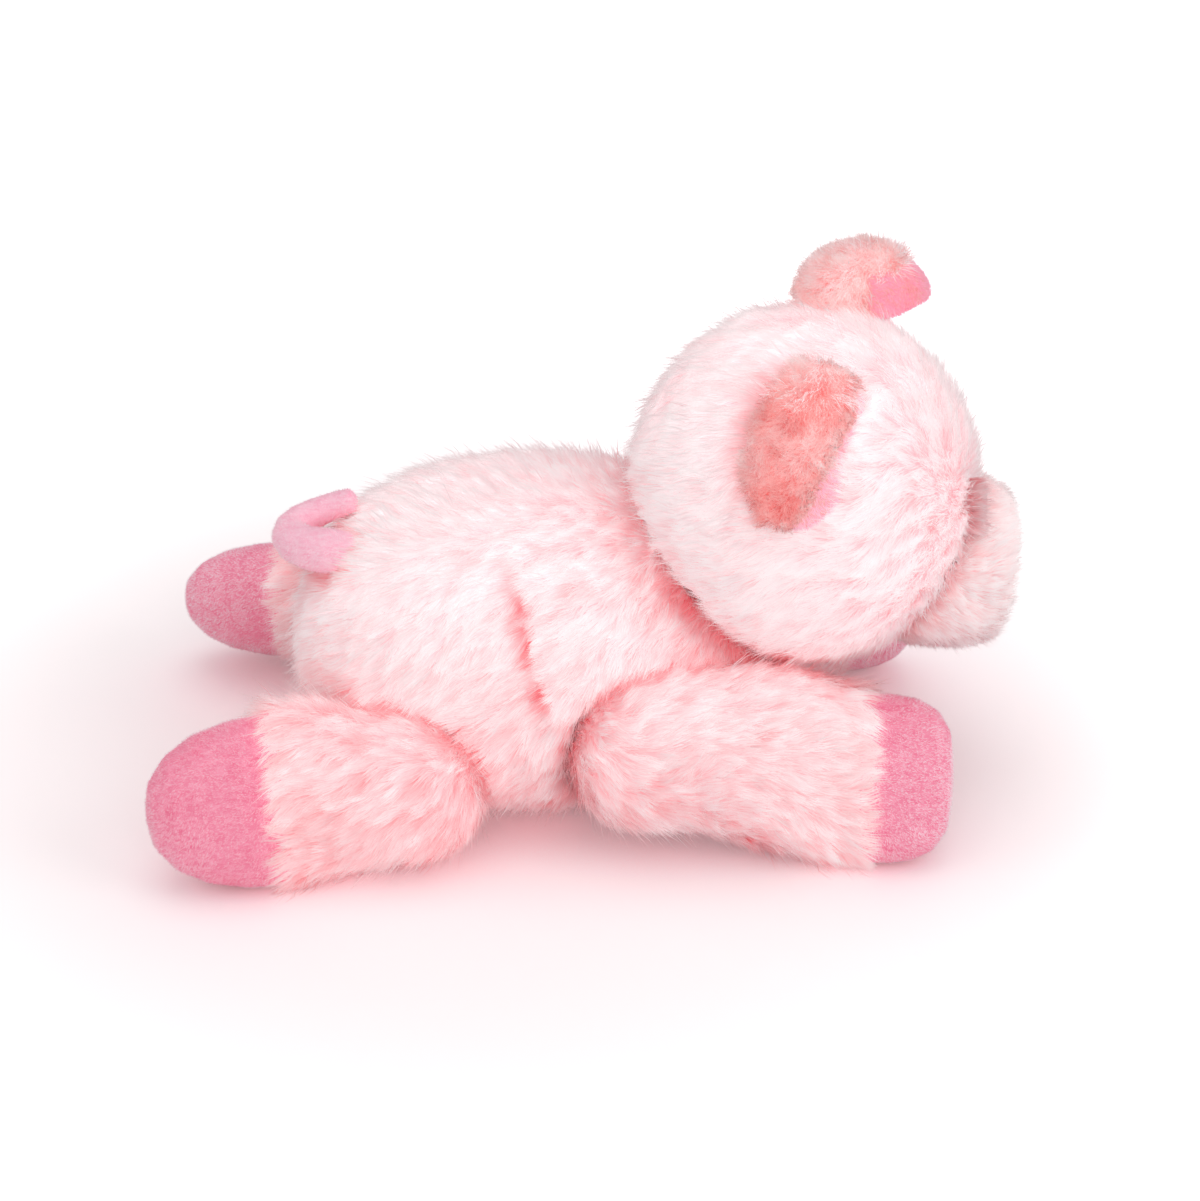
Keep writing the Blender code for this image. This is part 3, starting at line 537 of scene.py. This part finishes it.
# Strands on the open faces of a form: combed, leaning, bent, drawn into clumps and curled as its set says
def growFur(name, form, body, material, fur, comb, isOpen, flushAndShade, seed, split=None, shorten=None):
    rng = np.random.default_rng(seed)
    co, normals, corners = pointsOf(forms[form])
    a, b, c = (co[corners[:, i]] for i in range(3))
    areas = np.linalg.norm(np.cross(b - a, c - a), axis=1) / 2 * isOpen
    count = int(areas.sum() / mm ** 2 * fur["density"])
    pick = rng.choice(len(corners), count, p=areas / areas.sum())
    r1, r2 = np.sqrt(rng.random(count)), rng.random(count)
    shares = np.stack([1 - r1, r1 * (1 - r2), r1 * r2], axis=1)
    at = np.einsum("ij,ijk->ik", shares, co[corners[pick]])
    normal = unit(np.einsum("ij,ijk->ik", shares, normals[corners[pick]]))
    # The flush and painted shade at each strand's root
    blushAndShade = np.einsum("ij,ij->i", shares, flushAndShade[corners[pick]])
    facing = unit(np.einsum("ij,ijk->ik", shares, broadNormals(form)[corners[pick]])) if fur["broad"] else normal
    facing = unit(facing + np.array(fur["bias"]))
    flow = comb(at, normal)
    turn = fur["swirl"] * waves(at, fur["swirlScale"], seed + 1) + fur["crimp"] * waves(at, 9 * mm, seed + 4)
    flow = turnAbout(flow, normal, turn)
    flow = unit(flow - normal * np.sum(flow * normal, axis=1)[:, None] + 1e-6)
    length = fur["length"] * rng.uniform(0.8, 1.1, count) * (1 + 0.06 * waves(at, 18 * mm, seed + 2))
    length *= 1 - fur["thin"] * blushAndShade
    if shorten is not None:
        length *= shorten(at)
    lean = rng.normal(fur["lean"], fur["unruly"], count) + fur["unruly"] * waves(at, 9 * mm, seed + 3)
    isGuard = rng.random(count) < fur["guard"]
    length[isGuard] *= fur["guardLength"]
    lean[isGuard] -= fur["guardLift"]
    start = np.radians(np.clip(lean - fur["bend"] / 2, 0, 85))
    end = np.radians(np.clip(lean + fur["bend"] / 2, 0, 97))
    first = unit(normal * np.cos(start)[:, None] + flow * np.sin(start)[:, None])
    last = unit(normal * np.cos(end)[:, None] + flow * np.sin(end)[:, None])
    first = unit(first + rng.normal(scale=fur["stray"], size=(count, 3)))
    last = unit(last + rng.normal(scale=fur["stray"] * 1.6, size=(count, 3)))
    root = at - normal * fur["rootDepth"]
    levels = fur["levels"]
    points = [root]
    for k in range(1, levels):
        share = (k - 0.5) / (levels - 1)
        points.append(points[-1] + (first * (1 - share) + last * share) * (length / (levels - 1))[:, None])
    if fur["clump"]:
        chosen = rng.choice(count, int(count / fur["clumpSize"]), replace=False)
        finder = KDTree(len(chosen))
        for i, j in enumerate(chosen):
            finder.insert(root[j], i)
        finder.balance()
        owner = chosen[np.array([finder.find(point)[1] for point in root])]
        pull = fur["clump"] * rng.uniform(0.6, 1.1, count) * ~isGuard
        for k in range(1, levels):
            share = (k / (levels - 1)) ** 1.3
            points[k] = points[k] + (points[k][owner] - points[k]) * (pull * share)[:, None]
        # Each clump takes a tone at random, which also stands in for painted shade between tufts, since the strands
        # cast no shadow
        shade = rng.normal(scale=fur["clumpTintAndShade"], size=count)[owner]
    else:
        shade = 0
    if fur["curl"]:
        phase, spin = rng.uniform(0, 2 * math.pi, count), rng.choice((-1, 1), count)
        across = unit(np.cross(first, normal) + 1e-6)
        for k in range(1, levels):
            angle = phase + spin * k * fur["curlTurn"]
            swing = across * np.cos(angle)[:, None] + normal * np.sin(angle)[:, None]
            points[k] = points[k] + swing * fur["curl"] * min(k, 2) / 2
    sides = unit(np.cross(points[-1] - root, normal))
    sides = turnAbout(sides, unit(points[-1] - root), rng.normal(scale=fur["twist"], size=count))
    shading = unit(facing + fur["shadeSpread"] * unit(np.cross(sides, points[-1] - root)))
    width = fur["width"] / 2 * rng.uniform(0.75, 1.25, count)
    widths = [width * (1 - 0.7 * (k / (levels - 1)) ** 2) for k in range(levels - 1)]
    shade = shade + fur["mottle"] * waves(at, 5 * mm, seed + 6)
    tints = np.clip(fur["tint"] + shade + fur["flushAndShade"] * blushAndShade + rng.normal(scale=0.05, size=count), 0.02, 0.98)
    parts = [("", np.ones(count, bool))] if split is None else split(at)
    for ending, inPart in parts:
        mesh = strandMesh(
            name + ending, [p[inPart] for p in points], [w[inPart] for w in widths], sides[inPart], tints[inPart],
            shading[inPart],
        )
        mesh.materials.append(material)
        piece = newObject(name + ending, mesh)
        piece.visible_shadow = False
        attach(piece, body)
        print(piece.name, len(mesh.polygons), "triangles")


# Ways to comb: all strands one way, or away from a point and a little down
def along(x, y, z):
    return lambda at, normal: np.tile([x, y, z], (len(at), 1)).astype(float)


def awayFrom(point, drop):
    return lambda at, normal: unit(at - np.array(point)) + np.array([0, 0, -drop])


# Body fur, long and brushed back from the face; the same on the legs, brushed to the hooves
bodyFurSet = {
    "density": 4.0, "length": 10.5 * mm, "width": 0.27 * mm, "levels": 3, "lean": 64, "bend": 36, "stray": 0.1,
    "rootDepth": 1.3 * mm, "clump": 0.45, "clumpSize": 20, "clumpTintAndShade": 0.09, "twist": 0.3, "shadeSpread": 0.3,
    "unruly": 5, "swirl": 0.45, "swirlScale": 46 * mm, "tint": 0.03, "flushAndShade": 0.9, "thin": 0.55, "guard": 0.05,
    "guardLength": 1.3, "guardLift": 16, "crimp": 0.3, "mottle": 0.035, "curl": 0, "curlTurn": 1.9, "broad": True,
    "bias": (0, 0, 0.2),
}
muzzleFurSet = dict(
    bodyFurSet, density=5.5, length=6 * mm, width=0.24 * mm, rootDepth=0.8 * mm, lean=42, bend=44, tint=0.06,
    clump=0.3, broad=False, bias=(0, -0.1, 0.3),
)
browFurSet = dict(
    bodyFurSet, density=25, length=8.4 * mm, width=0.44 * mm, lean=6, bend=12, tint=0.34, crimp=0, swirl=0,
    bias=(0, -0.2, 0.2),
)
earFurSet = dict(
    bodyFurSet, density=9.5, length=6.2 * mm, width=0.17 * mm, levels=6, rootDepth=0.6 * mm, lean=46, bend=70,
    stray=0.3, unruly=12, clump=0.4, clumpSize=26, clumpTintAndShade=0.14, swirl=1.4, swirlScale=11 * mm, tint=0, flushAndShade=1,
    thin=0, guard=0, mottle=0.08, curl=0.55 * mm, broad=False, bias=(0, 0, 0),
)
earBaseFurSet = dict(bodyFurSet, density=2.6, length=8 * mm, lean=50, stray=0.25, tint=0.1, clump=0.2)
napSet = dict(
    bodyFurSet, density=9, length=1.3 * mm, width=0.26 * mm, levels=2, rootDepth=0.3 * mm, lean=58, bend=20,
    stray=0.3, clump=0.0, swirl=0.5, swirlScale=20 * mm, tint=0.3, flushAndShade=0.3, thin=0, guard=0, broad=False,
)

# The flank seam slants forward as it goes down, between two heights
seamSet = {
    "low": 46 * mm, "high": 90 * mm, "top": 88 * mm, "topY": -5.3 * mm, "slant": 8 / 37, "fade": 8 * mm,
    "flushWidth": 2 * mm, "flushBehind": 1.5 * mm, "furrowWidth": 9 * mm, "furrowDepth": 0.5,
}


def behindSeam(points):
    return points[:, 1] - seamSet["topY"] + seamSet["slant"] * (seamSet["top"] - points[:, 2])


def seamWaver(points):
    return np.clip(0.85 + 0.3 * waves(points, 14 * mm, 5), 0, 1)


def seamFlush(points):
    away = (behindSeam(points) - seamSet["flushBehind"]) / seamSet["flushWidth"]
    ends = np.minimum(points[:, 2] - seamSet["low"], seamSet["high"] - points[:, 2]) / seamSet["fade"]
    return np.exp(-away ** 2) * np.clip(ends, 0, 1) * seamWaver(points)


# Strands in front of the flank seam are a little shorter, so that it shows as a shallow furrow
def shortAtSeam(points):
    ahead = -behindSeam(points) / seamSet["furrowWidth"]
    ends = np.minimum(points[:, 2] - seamSet["low"], seamSet["top"] - points[:, 2]) / (10 * mm)
    share = np.clip(ends, 0, 1) * seamWaver(points)
    return 1 - share * np.where(ahead > -0.1, np.clip(1 - ahead, 0, 1), 0) * seamSet["furrowDepth"]


# Painted shade: the pile's pink deepens with the share of sky that is hidden from it
def hiddenShadeTint(form):
    return np.clip((hiddenShare(form) - 0.14) / 0.5, 0, 1)


# Low on the pig the pile is painted a deeper pink, as painted shade under the light from above
def lowShadeTint(form, most):
    return most * np.clip(1 - pointsOf(forms[form])[0][:, 2] / (78 * mm), 0, 1)


# The form under the fur, drawn in a little, takes the place of its CAD nodes
def dressed(form, nodes, material, inset):
    co, normals, corners = pointsOf(forms[form])
    movePoints(forms[form], co - normals * inset)
    piece = forms[form]
    piece.data.materials.append(material)
    piece.data.shade_smooth()
    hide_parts(*nodes)
    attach(piece, bodyOfForm[form])


def noFlush(form):
    return np.zeros(len(forms[form].data.vertices))


# Painted shade: the neck's crease is painted a deeper pink at its sides and underneath, not on top, where the light
# from above falls
def lowDown(points):
    return 1 - 0.85 * np.clip((points[:, 2] / mm - 76) / 16, 0, 1)


def patchy(points):
    return np.clip(0.8 + 0.35 * waves(points, 8 * mm, 7), 0.2, 1.2) * (0.55 + 0.45 * lowDown(points))


# The torso's pile turns a deeper pink along the flank seam, where its roots show; at its creases with the legs, tail
# and head the pink is partly its roots and partly painted shade, and low down and where the sky is hidden it is
# painted shade
torsoPoints = pointsOf(forms["torso"])[0]
torsoFlushAndShade = np.maximum(0.55 * nearness("torso", 5 * mm, sleeves + ["tail_pad"]), seamFlush(torsoPoints))
torsoFlushAndShade = np.maximum(torsoFlushAndShade, 0.45 * nearness("torso", 6 * mm, ["head"]))
torsoFlushAndShade = np.maximum(torsoFlushAndShade, nearness("torso", 5.5 * mm, ["head"]) * lowDown(torsoPoints))
torsoFlushAndShade = np.maximum(torsoFlushAndShade, 0.34 * nearness("torso", 17 * mm, ["head"]) * patchy(torsoPoints))
torsoFlushAndShade = np.maximum(torsoFlushAndShade, lowShadeTint("torso", 0.36))
torsoFlushAndShade = np.maximum(torsoFlushAndShade, 0.6 * hiddenShadeTint("torso"))
growFur(
    "torsoFur", "torso", "torso", bodyFur, bodyFurSet, awayFrom((0, -0.07, 0.08), 0.35),
    openFaces("torso", 0.4 * mm), torsoFlushAndShade, 11,
    lambda at: [("Rear", at[:, 1] > 12 * mm), ("Middle", (at[:, 1] <= 12 * mm) & (at[:, 1] > -30 * mm)),
                ("Front", at[:, 1] <= -30 * mm)],
    shortAtSeam,
)


# The fur is parted around each eye
def parted(isOpen, name, places, reach):
    middles = faceMiddles(name)
    for place in places:
        isOpen &= np.linalg.norm(middles - np.array(place), axis=1) > reach
    return isOpen


earFurs = ["left_ear_fur", "right_ear_fur"]
headPoints = pointsOf(forms["head"])[0]
# The head's pile turns a deeper pink at its creases with the torso, ears and muzzle, partly its roots and partly
# painted shade, and where the sky is hidden, as painted shade
headFlushAndShade = nearness("head", 5.5 * mm, ["torso"]) * lowDown(headPoints)
headFlushAndShade = np.maximum(headFlushAndShade, 0.34 * nearness("head", 17 * mm, ["torso"]) * patchy(headPoints))
headFlushAndShade = np.maximum(headFlushAndShade, 0.45 * nearness("head", 3 * mm, earFurs))
headFlushAndShade = np.maximum(headFlushAndShade, 0.45 * nearness("head", 6 * mm, ["torso"]))
headFlushAndShade = np.maximum(headFlushAndShade, 0.45 * nearness("head", 3 * mm, ["muzzle"]))
headFlushAndShade = np.maximum(headFlushAndShade, 0.55 * hiddenShadeTint("head"))
headComb = awayFrom((0, -0.15, 0.075), 0.2)
eyePlaces = []
for side in ("left", "right"):
    low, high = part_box(side + "_eye")
    eyePlaces.append([(low[0] + high[0]) / 2 * 0.9, low[1] - 0.5 * mm, (low[2] + high[2]) / 2 - 1 * mm])


# The head's pile is shorter over the neck's crease and around the eyes, so that both stay open to view
def shortAtNeck(points):
    gaps = np.array([trees["torso"].find_nearest(Vector(point), 14 * mm)[3] or 14 * mm for point in points])
    share = 1 - 0.5 * np.exp(-((gaps / (7 * mm)) ** 2)) * lowDown(points)
    for place in eyePlaces:
        away = np.linalg.norm(points - np.array(place), axis=1)
        isInner = abs(points[:, 0]) < abs(place[0]) + 1.5 * mm
        share = np.minimum(share, np.where(isInner, np.clip((away - 2.6 * mm) / (9 * mm), 0.15, 1), 1))
    return share


growFur(
    "headFur", "head", "head", bodyFur, dict(bodyFurSet, tint=0.0), headComb,
    parted(openFaces("head", 1 * mm), "head", eyePlaces, 4 * mm), headFlushAndShade, 21,
    lambda at: [("Left", at[:, 0] > 12 * mm), ("Middle", abs(at[:, 0]) <= 12 * mm), ("Right", at[:, 0] < -12 * mm)],
    shortAtNeck,
)


# Upright tufts at the outer side of each eye, that hide it from the side
def besideEyes():
    middles = faceMiddles("head")
    chosen = np.zeros(len(middles), bool)
    for place in eyePlaces:
        offset = middles - np.array(place)
        away = np.linalg.norm(offset, axis=1)
        chosen |= (away < 9.5 * mm) & (away > 3.2 * mm) & (abs(middles[:, 0]) > abs(place[0]) + 1.5 * mm)
    return chosen


growFur(
    "browFur", "head", "head", bodyFur, browFurSet, headComb,
    openFaces("head", 0.4 * mm) & besideEyes(), noFlush("head"), 25,
)


# The muzzle's pile is shorter low down, so that its outline stays round
def shortLow(points):
    return 0.55 + 0.45 * np.clip((points[:, 2] / mm - 42) / 22, 0, 1)


# The muzzle's pile is painted pinker where the sky is hidden, as painted shade, and at its crease with the head,
# partly its roots and partly painted shade
growFur(
    "muzzleFur", "muzzle", "head", muzzleFur, muzzleFurSet, along(0, -1, 0.1),
    openFaces("muzzle", 1 * mm), np.maximum(0.3 * hiddenShadeTint("muzzle"), 0.45 * nearness("muzzle", 4 * mm, ["head"])),
    31, None, shortLow,
)

# The legs' pile is painted pinker than the body's, as painted shade low on the pig; the far hind hoof's nap is
# painted lighter against the shade that the body casts on it, and the hooves otherwise differ a little in tint
sleeveShadeTints = {"front": 0.12, "hind": 0.2}
hoofTintsAndLight = {"front_left": 0.97, "front_right": 0.97, "hind_left": 0.97, "hind_right": 0.6}
for number, (leg, at) in enumerate(legs.items()):
    sleeve = leg + "_sleeve"
    # The pile of each leg is painted pinker at its crease with the body, partly its roots and partly painted shade,
    # and low down and where the sky is hidden, as painted shade
    growFur(
        leg + "_leg_fur", sleeve, at["body"], bodyFur,
        dict(bodyFurSet, tint=sleeveShadeTints[leg.split("_")[0]]),
        along(*(at["heading"] + Vector((0, 0, -0.25)))), openFaces(sleeve, 0.4 * mm),
        np.maximum(np.maximum(0.65 * nearness(sleeve, 5 * mm), lowShadeTint(sleeve, 0.15)), 0.5 * hiddenShadeTint(sleeve)),
        41 + number,
    )
    pad = leg + "_hoof_pad"
    growFur(
        leg + "_hoof_nap", pad, at["body"], napFur, dict(napSet, tint=hoofTintsAndLight[leg]),
        along(*(at["heading"] + Vector((0, 0, -0.5)))), openFaces(pad, 1 * mm), noFlush(pad), 51 + number,
    )


# Places on an ear as it faces outward: down it from its top, and across it from rear to front, around its middle
def earPlaces(side, points):
    co, normals, corners = pointsOf(forms[side + "_ear_fur"])
    out = Vector((1 if side == "left" else -1, 0, 0.5)).normalized()
    front = Vector((0, -1, 0))
    down = -front.cross(out) if side == "left" else front.cross(out)
    center = (co.max(axis=0) + co.min(axis=0)) / 2
    return (points - center) @ np.array(down), (points - center) @ np.array(front)


# The lining turns over the front rim of the near ear in a band that widens downwards: how far behind it points lie
def behindRim(points):
    middles = pointsOf(forms["right_ear_fur"])[0]
    down, front = earPlaces("right", middles)
    steps = np.linspace(down.min(), down.max(), 17)
    edges = [front[(down >= low) & (down <= high)].max() for low, high in zip(steps, steps[1:])]
    most = down.max()
    down, front = earPlaces("right", points)
    band = 2 * mm + 6 * mm * np.clip(down / most + 0.3, 0, 1)
    return np.interp(down, (steps[1:] + steps[:-1]) / 2, edges) - front - band * (down > -0.6 * most)


def turnedRim(side):
    middles = faceMiddles(side + "_ear_fur")
    uneven = np.random.default_rng(97).normal(size=len(middles))
    if side == "left":
        return (middles[:, 1] < (-106 + 0.7 * uneven) * mm) & (middles[:, 2] < (151 + 0.4 * uneven) * mm)
    return behindRim(middles) < 0.3 * mm * uneven


# Curls grow on the side of the near ear that looks away from the head, so that its edge stays clean
def outerSide(side):
    facing = faceNormals(side + "_ear_fur")
    return facing @ np.array([-0.9, 0, 0.44]) > -0.1 if side == "right" else np.ones(len(facing), bool)


# The curls are deepest high and low on the near ear, pale where it leaves the head, and lighter at its middle: the
# deep low part is painted shade and the lighter middle painted light
def earTintAndShade(side):
    down, front = earPlaces(side, pointsOf(forms[side + "_ear_fur"])[0])
    down, front = down / abs(down).max(), front / abs(front).max()
    if side == "left":
        return np.full(len(down), 0.3)
    high = 0.3 * np.exp(-((down + 0.45) / 0.3) ** 2)
    low = 0.35 * np.exp(-((down - 0.6) / 0.35) ** 2 - ((front + 0.5) / 0.5) ** 2)
    middle = 0.3 * np.exp(-((down - 0.05) / 0.35) ** 2 - ((front - 0.3) / 0.5) ** 2)
    root = 0.5 * np.clip((-down - 0.62) / 0.3, 0, 1)
    rear = 0.25 * np.clip((-front - 0.5) / 0.4, 0, 1) * (down < 0.3)
    return np.clip(0.56 + high + low - middle - root - rear, 0, 1)


shorts = {"left": None, "right": lambda at: np.clip(behindRim(at) / (6 * mm), 0.45, 1)}
for number, side in enumerate(("left", "right")):
    fur, velvet, body = side + "_ear_fur", side + "_ear_velvet", side + "_ear"
    openBack, rim = openFaces(fur, 1.5 * mm), turnedRim(side)
    growFur(
        side + "_ear_curls", fur, body, coralFur, earFurSet, along(0, 0.6, -1),
        openBack & ~rim & outerSide(side), earTintAndShade(side), 61 + number, None, shorts[side],
    )
    growFur(
        side + "_ear_rim_nap", fur, body, napFur,
        dict(napSet, tint=0.3 if side == "left" else 0.75, length=1.9 * mm), along(0, -0.4, -1), openBack & rim,
        noFlush(fur), 65 + number,
    )
    growFur(
        side + "_ear_nap", velvet, body, napFur, napSet, along(0, -0.4, -1), openFaces(velvet, 1 * mm),
        noFlush(velvet), 71 + number,
    )
    atTop = faceMiddles(fur)[:, 2] > pointsOf(forms[fur])[0][:, 2].max() - 8 * mm
    growFur(
        side + "_ear_base_fur", fur, body, bodyFur, earBaseFurSet, along(0, 0.4, -1),
        openBack & ~rim & atTop, noFlush(fur), 75 + number,
    )
growFur(
    "tail_nap", "tail_pad", "tail", napFur, dict(napSet, tint=0.95), along(0, 1, -0.5),
    openFaces("tail_pad", 1 * mm), noFlush("tail_pad"), 81,
)

dressed("torso", ["torso_cover", "torso_filling"], bodySkin, 1.1 * mm)
dressed("head", ["head_cover", "head_filling"], bodySkin, 1.1 * mm)
dressed("muzzle", ["muzzle_cover", "muzzle_filling"], bodySkin, 0.6 * mm)
for leg in legs:
    dressed(leg + "_sleeve", [leg + "_leg_sleeve", leg + "_leg_filling"], bodySkin, 1.0 * mm)
    dressed(leg + "_hoof_pad", [leg + "_hoof"], hoofVelvet, 0)
for side in ("left", "right"):
    dressed(side + "_ear_fur", [side + "_ear_back"], coralSkin, 0.2 * mm)
    dressed(side + "_ear_velvet", [side + "_ear_lining"], tailVelvet, 0)
dressed("tail_pad", ["tail_cover", "tail_filling"], tailVelvet, 0)
dressed("snout_velvet", ["snout_pad"], snoutVelvet, 0)
print("covers dressed")

# Eyes: glossy domes before the head, plain washers behind its cover
for side in ("left", "right"):
    eye = forms[side + "_eye_dome"]
    eye.data.materials.append(eyePlastic)
    eye.data.shade_smooth()
    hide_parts(side + "_eye")
    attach(eye, "head")
    washer = frame["nodes"][side + "_eye_washer"]
    washer.data.materials.clear()
    washer.data.materials.append(washerPlastic)


# Nostrils, each an oval of satin stitches that lie side by side on the snout
def sewnThreads(name, paths, thickness):
    data = bpy.data.curves.new(name, "CURVE")
    data.dimensions, data.use_fill_caps = "3D", True
    data.bevel_depth, data.bevel_resolution = thickness / 2, 2
    for path in paths:
        spline = data.splines.new("POLY")
        spline.points.add(len(path) - 1)
        for spot, place in zip(spline.points, path):
            spot.co = (*place, 1)
    return applied(newObject(name + "Curve", data), name)


nostrilSet = {
    "aside": 7.5 * mm, "height": 68 * mm, "wide": 2.3 * mm, "high": 3.9 * mm, "thread": 0.5 * mm, "slant": 0.25,
    "sunk": 0.75, "arch": 0.5 * mm,
}
snoutTree = BVHTree.FromPolygons(*[part.tolist() for part in pointsOf(forms["snout_velvet"])[::2]])
for side, sign in (("left", 1), ("right", -1)):
    paths, n = [], nostrilSet
    for row in np.arange(-n["high"], n["high"] + 0.01 * mm, n["thread"] * 0.8):
        reach = n["wide"] * math.sqrt(max(1 - (row / (n["high"] + 0.2 * mm)) ** 2, 0.05))
        path = []
        for share in np.linspace(-1, 1, 9):
            x = sign * n["aside"] + share * reach
            z = n["height"] + row + sign * share * reach * n["slant"]
            hit = snoutTree.ray_cast(Vector((x, -0.2, z)), Vector((0, 1, 0)))[0]
            path.append(hit + Vector((0, (abs(share) ** 4 - n["sunk"]) * n["arch"], 0)))
        paths.append(path)
    nostril = sewnThreads(side + "Nostril", paths, n["thread"])
    nostril.data.materials.append(nostrilThread)
    nostril.data.shade_smooth()
    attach(nostril, "head")

# Floor and light
stageSet = {"floor": 3, "world": 0.53, "lampSize": 1.0, "lampColor": (0.985, 1, 1)}
floorMesh = bpy.data.meshes.new("floor")
floorShape = bmesh.new()
bmesh.ops.create_grid(floorShape, x_segments=1, y_segments=1, size=stageSet["floor"])
floorShape.to_mesh(floorMesh)
floorShape.free()
floor = newObject("floor", floorMesh)


# Rays that come from the eye, straight or by way of a shine or a clear piece
def seenRays(tree):
    ray = addNode(tree, "ShaderNodeLightPath").outputs
    pair = {0: ray["Is Glossy Ray"], 1: ray["Is Transmission Ray"]}
    shiny = addNode(tree, "ShaderNodeMath", pair, operation="MAXIMUM").outputs[0]
    either = addNode(tree, "ShaderNodeMath", {0: ray["Is Camera Ray"], 1: shiny}, operation="MAXIMUM").outputs[0]
    pair = {0: either, 1: ray["Is Diffuse Ray"]}
    return addNode(tree, "ShaderNodeMath", pair, operation="SUBTRACT", use_clamp=True).outputs[0]


floorMaterial, tree, shader = newMaterial("paleFloor")
# Painted shadow: where the pig hides the floor, its colour is painted pink, as shade and as the light that the pig
# bounces onto it
nearby = addNode(tree, "ShaderNodeAmbientOcclusion", {"Distance": 70 * mm}, samples=8).outputs["AO"]
shadePink = addRamp(tree, nearby, [
    (0.15, (0.86, 0.50, 0.56)), (0.55, (0.93, 0.84, 0.86)), (0.9, (0.95, 0.94, 0.945)),
])
setShader(tree, shader, {"Base Color": shadePink, "Roughness": 0.9, "Specular IOR Level": 0.1})
spot = addNode(tree, "ShaderNodeTexCoord").outputs["Object"]
away = addNode(tree, "ShaderNodeVectorMath", {0: spot}, operation="LENGTH").outputs["Value"]
glow = addNode(tree, "ShaderNodeMapRange", {
    "Value": away, "From Min": 0.1, "From Max": 0.42, "To Min": 0.16, "To Max": 1,
}, interpolation_type="SMOOTHSTEP").outputs["Result"]
lift = addNode(tree, "ShaderNodeEmission", {"Color": (1, 1, 1, 1), "Strength": glow})
dark = addNode(tree, "ShaderNodeEmission", {"Color": (0, 0, 0, 1), "Strength": 0})
seen = addNode(tree, "ShaderNodeMixShader", {0: seenRays(tree), 1: dark.outputs[0], 2: lift.outputs[0]})
total = addNode(tree, "ShaderNodeAddShader", {0: shader.outputs[0], 1: seen.outputs[0]})
tree.links.new(total.outputs[0], tree.nodes["Material Output"].inputs["Surface"])
floorMesh.materials.append(floorMaterial)
floor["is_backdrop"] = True

world = bpy.data.worlds.new("studio")
scene.world = world
world.use_nodes = True
tree = world.node_tree
background = tree.nodes["Background"]
seen = seenRays(tree)
level = addNode(tree, "ShaderNodeMix", data_type="FLOAT")
tree.links.new(seen, level.inputs[0])
level.inputs[2].default_value = stageSet["world"]
level.inputs[3].default_value = 1
tree.links.new(level.outputs[0], background.inputs["Strength"])
sky = addNode(tree, "ShaderNodeMix", data_type="RGBA")
tree.links.new(seen, sky.inputs[0])
sky.inputs[6].default_value = (1, 0.89, 0.90, 1)
sky.inputs[7].default_value = (1, 1, 1, 1)
tree.links.new(sky.outputs[2], background.inputs["Color"])


def addLamp(name, place, power):
    data = bpy.data.lights.new(name, "AREA")
    data.shape, data.size, data.energy, data.color = "DISK", stageSet["lampSize"], power, stageSet["lampColor"]
    lamp = bpy.data.objects.new(name, data)
    scene.collection.objects.link(lamp)
    lamp.location = place
    lamp.rotation_euler = (-Vector(place)).to_track_quat("-Z", "Y").to_euler()


addLamp("overhead", (0.15, 0.1, 1.3), power=3.05)
addLamp("cameraSide", (-1.25, -0.15, 0.55), power=3.5)
addLamp("front", (-0.6, -1.25, 0.8), power=4.2)
addLamp("rear", (-0.3, 1.3, 0.6), power=1.4)
scene.view_settings.view_transform = "Standard"
print("stage set")

low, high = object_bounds()
